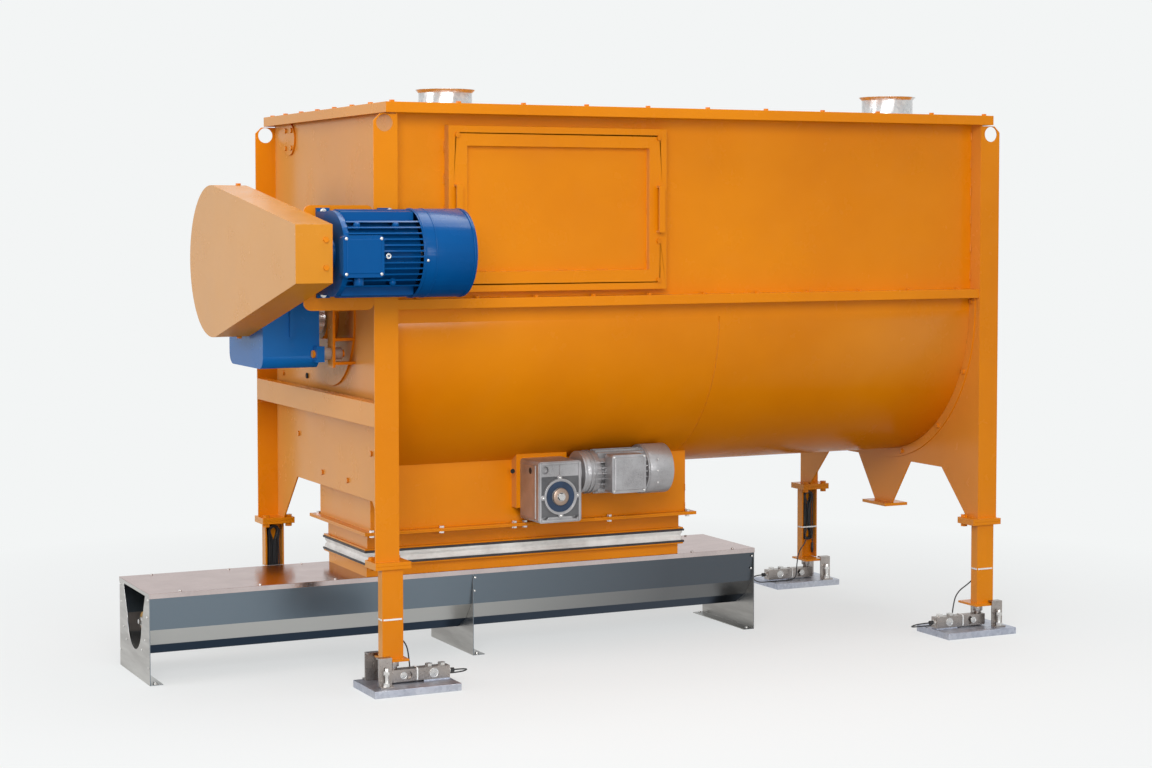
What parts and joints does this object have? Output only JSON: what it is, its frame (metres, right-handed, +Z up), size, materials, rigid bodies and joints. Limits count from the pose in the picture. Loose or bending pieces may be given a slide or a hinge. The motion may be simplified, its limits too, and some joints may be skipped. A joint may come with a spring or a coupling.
{
  "type": "feed mixer",
  "caption": "Horizontal ribbon feed mixer on weighing feet, with a belt drive, a slide gate and a screw conveyor under it.",
  "frame": {"origin": "floor under the middle of the whole part's box", "axes": "+X along the mixing trough, away from the belt guard; +Y from the hatch side to the back; +Z up"},
  "size_m": [3.279, 1.7074, 2.092],
  "materials": {
    "orange_paint": "gloss enamel",
    "orange_bolts": "gloss enamel over hexagon heads",
    "blue_paint": "gloss enamel",
    "galvanised": "bright zinc coat",
    "stainless": "satin",
    "black_rubber": "matte",
    "cloth": "woven, white",
    "clamp_strip": "satin black",
    "cast_silver": "silver-grey enamel on castings",
    "machined_steel": "turned and oiled",
    "cast_iron": "machined rims",
    "worn_steel": "worn bright by feed"
  },
  "bodies": {
    "stand_and_body": {"end_wall_left": "orange_paint", "end_wall_right": "orange_paint", "trough_shell": "orange_paint", "front_wall": "orange_paint", "back_wall": "orange_paint", "top_cover": "orange_paint", "hatch_collar": "orange_paint", "blind_cover": "orange_paint", "front_leg_extensions": "orange_paint", "rear_leg_extensions": "orange_paint", "motor_plate": "orange_paint", "belt_guard": "orange_paint", "guard_back_plate": "orange_paint", "torque_stay": "orange_paint", "shaft_bearings": "orange_paint", "outlet_box": "orange_paint", "outlet_skirt": "orange_paint", "inlet_frame": "orange_paint", "panel_bolts": "orange_bolts", "motor_housing": "blue_paint", "motor_cowl": "blue_paint", "motor_terminal_box": "blue_paint", "gearbox_housing": "blue_paint", "inlet_spigots": "galvanised", "conveyor_trough": "galvanised", "conveyor_lid": "galvanised", "conveyor_supports": "galvanised", "base_pads": "galvanised", "load_cells": "stainless", "load_buttons": "stainless", "anti_lift_brackets": "stainless", "zinc_bolts": "stainless", "v_belts": "black_rubber", "torque_buffers": "black_rubber", "cable_glands": "black_rubber", "cell_cable_front_left": "black_rubber", "cell_cable_front_right": "black_rubber", "cell_cable_rear_left": "black_rubber", "cell_cable_rear_right": "black_rubber", "cable_hank_front_left": "black_rubber", "cable_hank_front_right": "black_rubber", "cable_hank_rear_left": "black_rubber", "cable_hank_rear_right": "black_rubber", "flexible_cuff": "cloth", "cuff_clamps": "clamp_strip", "gate_gearbox": "cast_silver", "gate_motor": "cast_silver"},
    "mixing_rotor": {"main_shaft": "machined_steel", "ribbon_spokes": "worn_steel", "outer_ribbon": "worn_steel", "inner_ribbon": "worn_steel"},
    "gearbox_input": {"gearbox_input_shaft": "machined_steel", "gearbox_pulley": "cast_iron"},
    "motor_rotor": {"motor_shaft": "machined_steel", "motor_pulley": "cast_iron"},
    "gate": {"slide_gate": "machined_steel"},
    "gate_pinions": {"gate_pinion_shaft": "machined_steel"},
    "hatch": {"hatch_panel": "orange_paint", "hatch_bolts": "orange_bolts"},
    "conveyor_auger": {"auger": "worn_steel"}
  },
  "joints": [
    {"name": "rotor_spin", "type": "hinge", "parent": "stand_and_body", "child": "mixing_rotor", "pos_m": [0.2635, 0.11475, 1.255], "axis": [1, 0, 0], "continuous": true},
    {"name": "gearbox_input_spin", "type": "hinge", "parent": "stand_and_body", "child": "gearbox_input", "pos_m": [-1.2865, 0.11475, 1.462], "axis": [1, 0, 0], "continuous": true},
    {"name": "motor_spin", "type": "hinge", "parent": "stand_and_body", "child": "motor_rotor", "pos_m": [-1.2865, -0.69675, 1.5], "axis": [1, 0, 0], "continuous": true},
    {"name": "gate_slide", "type": "slide", "parent": "stand_and_body", "child": "gate", "axis": [1, 0, 0], "range_m": [0, 0.115]},
    {"name": "gate_pinion_turn", "type": "hinge", "parent": "stand_and_body", "child": "gate_pinions", "pos_m": [-0.1955, 0.11475, 0.608], "axis": [0, 1, 0], "range_deg": [0, 220]},
    {"name": "hatch_lift_off", "type": "slide", "parent": "stand_and_body", "child": "hatch", "axis": [0, -1, 0], "range_m": [0, 0.4]},
    {"name": "auger_spin", "type": "hinge", "parent": "stand_and_body", "child": "conveyor_auger", "pos_m": [-0.4365, 0.11475, 0.19], "axis": [1, 0, 0], "continuous": true}
  ],
  "couplings": [
    {"joint": "gearbox_input_spin", "follows": "rotor_spin", "ratio": 20},
    {"joint": "motor_spin", "follows": "rotor_spin", "ratio": 44.444},
    {"joint": "gate_pinion_turn", "follows": "gate_slide", "rad_per_m": 33.333}
  ]
}
